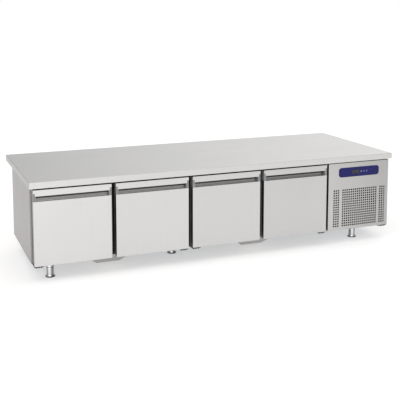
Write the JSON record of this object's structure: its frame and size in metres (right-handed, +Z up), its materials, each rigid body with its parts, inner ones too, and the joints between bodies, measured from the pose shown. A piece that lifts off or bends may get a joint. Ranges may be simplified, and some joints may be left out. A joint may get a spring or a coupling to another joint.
{
  "type": "under counter fridge",
  "caption": "Low stainless refrigerated counter with hinged doors under a worktop, a machine compartment at the right behind a hinged perforated panel with blue controls, on levelling feet.",
  "frame": {"origin": "on the floor, under the centre of the worktop", "axes": "+X along the front to the machine compartment, +Y to the back, +Z up"},
  "size_m": [2.23, 0.83, 0.54],
  "materials": {
    "stainless": "satin brushed stainless sheet",
    "grey_plastic": "moulded grey plastic",
    "dark_plastic": "dark moulded plastic",
    "foam": "rigid polyurethane foam",
    "gasket_rubber": "grey magnetic gasket",
    "filler_board": "moisture-proof board",
    "galvanised": "galvanised sheet",
    "polished_steel": "polished stainless",
    "coated_wire": "plastic-coated wire",
    "dark_steel": "black zinc",
    "aluminium_fins": "aluminium fins",
    "black_paint": "black enamel",
    "copper": "copper tube",
    "fan_plastic": "black moulded fan",
    "blue_overlay": "blue printed overlay",
    "display": "dark display window",
    "key_rubber": "moulded keys"
  },
  "bodies": {
    "cabinet": {"back_panel": "stainless", "base_panels": "stainless", "compressor": "black_paint", "condenser_coil": "aluminium_fins", "drain_sumps": "galvanised", "electrical_box": "grey_plastic", "evaporation_tray": "galvanised", "evaporator_coils": "aluminium_fins", "evaporator_covers": "stainless", "fan_motors": "black_paint", "fan_shroud": "galvanised", "front_frame": "dark_plastic", "hinge_brackets": "dark_steel", "inner_liner": "stainless", "insulation_slabs": "foam", "leg_sleeves": "polished_steel", "power_gland": "grey_plastic", "rear_grille": "stainless", "refrigerant_pipes": "copper", "shelf_rails": "stainless", "shelves": "coated_wire", "side_panel_left": "stainless", "side_panel_right": "stainless", "worktop_core": "filler_board", "worktop_skin": "stainless"},
    "machine_door": {"machine_panel": "stainless", "control_panel": "blue_overlay", "display_window": "display"},
    "door_1": {"door_1_skin": "stainless", "door_1_core": "foam", "door_1_pan": "dark_plastic", "door_1_gasket": "gasket_rubber", "door_1_caps": "grey_plastic"},
    "door_2": {"door_2_skin": "stainless", "door_2_core": "foam", "door_2_pan": "dark_plastic", "door_2_gasket": "gasket_rubber", "door_2_caps": "grey_plastic"},
    "door_3": {"door_3_skin": "stainless", "door_3_core": "foam", "door_3_pan": "dark_plastic", "door_3_gasket": "gasket_rubber", "door_3_caps": "grey_plastic"},
    "door_4": {"door_4_skin": "stainless", "door_4_core": "foam", "door_4_pan": "dark_plastic", "door_4_gasket": "gasket_rubber", "door_4_caps": "grey_plastic"},
    "key_set_body": {"key_set": "key_rubber"},
    "key_up_body": {"key_up": "key_rubber"},
    "key_down_body": {"key_down": "key_rubber"},
    "condenser_fan_wheel": {"condenser_fan": "fan_plastic"},
    "evaporator_fan_1_wheel": {"evaporator_fan_1": "fan_plastic"},
    "evaporator_fan_2_wheel": {"evaporator_fan_2": "fan_plastic"},
    "foot_front_left_body": {"foot_front_left": "polished_steel"},
    "foot_front_right_body": {"foot_front_right": "polished_steel"},
    "foot_middle_front_body": {"foot_middle_front": "polished_steel"},
    "foot_middle_rear_body": {"foot_middle_rear": "polished_steel"},
    "foot_rear_left_body": {"foot_rear_left": "polished_steel"},
    "foot_rear_right_body": {"foot_rear_right": "polished_steel"}
  },
  "joints": [
    {"name": "door_1_hinge", "type": "hinge", "parent": "cabinet", "child": "door_1", "pos_m": [-1.087, -0.391, 0.29], "axis": [0, 0, -1], "range_deg": [0, 90], "stiffness_Nm_per_rad": 1.5},
    {"name": "door_2_hinge", "type": "hinge", "parent": "cabinet", "child": "door_2", "pos_m": [-0.2385, -0.391, 0.29], "axis": [0, 0, 1], "range_deg": [0, 90], "stiffness_Nm_per_rad": 1.5},
    {"name": "door_3_hinge", "type": "hinge", "parent": "cabinet", "child": "door_3", "pos_m": [-0.198, -0.391, 0.29], "axis": [0, 0, -1], "range_deg": [0, 90], "stiffness_Nm_per_rad": 1.5},
    {"name": "door_4_hinge", "type": "hinge", "parent": "cabinet", "child": "door_4", "pos_m": [0.6505, -0.391, 0.29], "axis": [0, 0, 1], "range_deg": [0, 90], "stiffness_Nm_per_rad": 1.5},
    {"name": "machine_panel_hinge", "type": "hinge", "parent": "cabinet", "child": "machine_door", "pos_m": [1.089, -0.391, 0.29], "axis": [0, 0, 1], "range_deg": [0, 100]},
    {"name": "key_set_press", "type": "slide", "parent": "machine_door", "child": "key_set_body", "axis": [0, 1, 0], "range_m": [0, 0.0006], "stiffness_N_per_m": 400},
    {"name": "key_up_press", "type": "slide", "parent": "machine_door", "child": "key_up_body", "axis": [0, 1, 0], "range_m": [0, 0.0006], "stiffness_N_per_m": 400},
    {"name": "key_down_press", "type": "slide", "parent": "machine_door", "child": "key_down_body", "axis": [0, 1, 0], "range_m": [0, 0.0006], "stiffness_N_per_m": 400},
    {"name": "condenser_fan_spin", "type": "hinge", "parent": "cabinet", "child": "condenser_fan_wheel", "pos_m": [0.89, -0.227, 0.225], "axis": [0, 1, 0], "continuous": true},
    {"name": "evaporator_fan_1_spin", "type": "hinge", "parent": "cabinet", "child": "evaporator_fan_1_wheel", "pos_m": [-0.66275, -0.15, 0.291], "axis": [1, 0, 0], "continuous": true},
    {"name": "evaporator_fan_2_spin", "type": "hinge", "parent": "cabinet", "child": "evaporator_fan_2_wheel", "pos_m": [0.22625, -0.15, 0.291], "axis": [1, 0, 0], "continuous": true},
    {"name": "foot_front_left_turn", "type": "hinge", "parent": "cabinet", "child": "foot_front_left_body", "pos_m": [-1, -0.325, 0.03], "axis": [0, 0, 1], "continuous": true},
    {"name": "foot_front_right_turn", "type": "hinge", "parent": "cabinet", "child": "foot_front_right_body", "pos_m": [0.91, -0.3, 0.03], "axis": [0, 0, 1], "continuous": true},
    {"name": "foot_middle_front_turn", "type": "hinge", "parent": "cabinet", "child": "foot_middle_front_body", "pos_m": [-0.255, -0.185, 0.03], "axis": [0, 0, 1], "continuous": true},
    {"name": "foot_middle_rear_turn", "type": "hinge", "parent": "cabinet", "child": "foot_middle_rear_body", "pos_m": [-0.255, 0.185, 0.03], "axis": [0, 0, 1], "continuous": true},
    {"name": "foot_rear_left_turn", "type": "hinge", "parent": "cabinet", "child": "foot_rear_left_body", "pos_m": [-1, 0.185, 0.03], "axis": [0, 0, 1], "continuous": true},
    {"name": "foot_rear_right_turn", "type": "hinge", "parent": "cabinet", "child": "foot_rear_right_body", "pos_m": [0.91, 0.185, 0.03], "axis": [0, 0, 1], "continuous": true}
  ]
}
